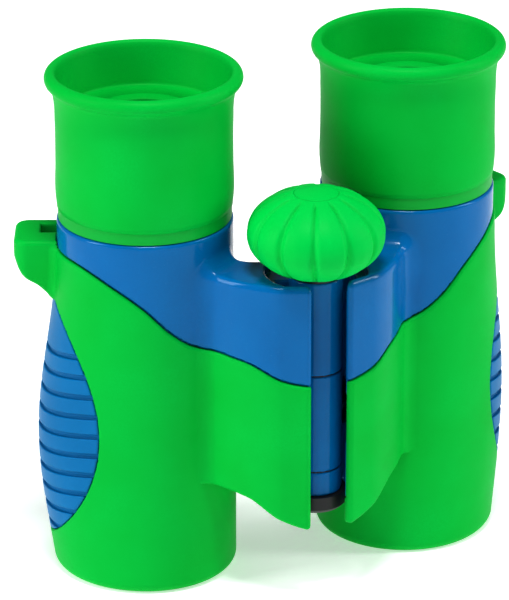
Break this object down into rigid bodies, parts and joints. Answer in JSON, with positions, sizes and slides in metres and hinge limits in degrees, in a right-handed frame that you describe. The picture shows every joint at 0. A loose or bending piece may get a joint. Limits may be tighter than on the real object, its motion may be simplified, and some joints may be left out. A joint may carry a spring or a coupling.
{
  "type": "compact binoculars",
  "caption": "Compact hand-held binoculars with a centre hinge and focus knob, rubber armour, ribbed side grips, strap lugs and soft eyecups, standing on the objective ends.",
  "frame": {"origin": "on the surface it stands on, under the middle of the whole object", "axes": "+Z from the objectives up to the eyepieces, +X towards the half with the dioptre ring, -Y the side with the hinge and the focus knob"},
  "size_m": [0.1022, 0.0536, 0.1022],
  "materials": {
    "blue_shell": "gloss",
    "green_rubber": "satin",
    "blue_rubber": "satin",
    "green_plastic": "satin",
    "knob_green": "satin",
    "black_plastic": "matt",
    "optical_glass": "polished",
    "coated_glass": "coated",
    "brass": "machined",
    "steel": "machined"
  },
  "bodies": {
    "left_half": {"friction_washers": "black_plastic", "hinge_axle": "steel", "hinge_cap": "black_plastic", "left_armour": "green_rubber", "left_eye_lens": "optical_glass", "left_eyecup": "green_rubber", "left_eyepiece_ring": "green_plastic", "left_field_lens": "optical_glass", "left_field_stop": "black_plastic", "left_grip_pad": "blue_rubber", "left_housing": "blue_shell", "left_lens_spacer": "black_plastic", "left_lower_prism": "optical_glass", "left_objective_bezel": "black_plastic", "left_ocular_retainer": "black_plastic", "left_ocular_sleeve": "black_plastic", "left_ocular_tube": "black_plastic", "left_prism_cage": "black_plastic", "left_prism_clip": "steel", "left_upper_prism": "optical_glass", "spindle_bush": "black_plastic"},
    "right_half": {"right_armour": "green_rubber", "right_grip_pad": "blue_rubber", "right_housing": "blue_shell", "right_lower_prism": "optical_glass", "right_objective_bezel": "black_plastic", "right_ocular_sleeve": "black_plastic", "right_prism_cage": "black_plastic", "right_prism_clip": "steel", "right_upper_prism": "optical_glass"},
    "focus_knob": {"focus_knob_cap": "knob_green", "focus_knob_core": "black_plastic", "focus_knob_grip": "knob_green", "focus_knob_screw": "steel", "focus_spindle": "steel", "spindle_clip": "steel"},
    "left_focus_slide": {"focus_carriage": "brass", "left_focus_arm": "steel", "left_focus_arm_screw": "steel", "left_objective_cell": "black_plastic", "left_objective_crown_lens": "coated_glass", "left_objective_flint_lens": "optical_glass", "left_objective_retainer": "black_plastic"},
    "right_focus_slide": {"right_focus_arm": "steel", "right_focus_arm_screw": "steel", "right_objective_cell": "black_plastic", "right_objective_crown_lens": "coated_glass", "right_objective_flint_lens": "optical_glass", "right_objective_retainer": "black_plastic"},
    "right_dioptre_ring": {"right_eyecup": "green_rubber", "right_eyepiece_ring": "green_plastic"},
    "right_ocular": {"right_dioptre_pin": "steel", "right_eye_lens": "optical_glass", "right_field_lens": "optical_glass", "right_field_stop": "black_plastic", "right_lens_spacer": "black_plastic", "right_ocular_retainer": "black_plastic", "right_ocular_tube": "black_plastic"}
  },
  "joints": [
    {"name": "eye_spacing_hinge", "type": "hinge", "parent": "left_half", "child": "right_half", "pos_m": [0, -0.01352, 0.04], "axis": [0, 0, -1], "range_deg": [-10, 40]},
    {"name": "focus_turn", "type": "hinge", "parent": "left_half", "child": "focus_knob", "pos_m": [0, -0.01352, 0.04], "axis": [0, 0, 1], "range_deg": [-150, 150]},
    {"name": "left_focus_travel", "type": "slide", "parent": "left_half", "child": "left_focus_slide", "axis": [0, 0, 1], "range_m": [-0.0015, 0.0015]},
    {"name": "right_focus_travel", "type": "slide", "parent": "right_half", "child": "right_focus_slide", "axis": [0, 0, 1], "range_m": [-0.0015, 0.0015]},
    {"name": "dioptre_turn", "type": "hinge", "parent": "right_half", "child": "right_dioptre_ring", "pos_m": [0.027, 0.00796, 0.08], "axis": [0, 0, 1], "range_deg": [-40, 40]},
    {"name": "dioptre_travel", "type": "slide", "parent": "right_half", "child": "right_ocular", "axis": [0, 0, 1], "range_m": [-0.0008, 0.0008]}
  ],
  "couplings": [
    {"joint": "focus_turn", "follows": "left_focus_travel", "rad_per_m": 1745.3},
    {"joint": "right_focus_travel", "follows": "left_focus_travel", "ratio": 1},
    {"joint": "dioptre_turn", "follows": "dioptre_travel", "rad_per_m": 872.66}
  ]
}
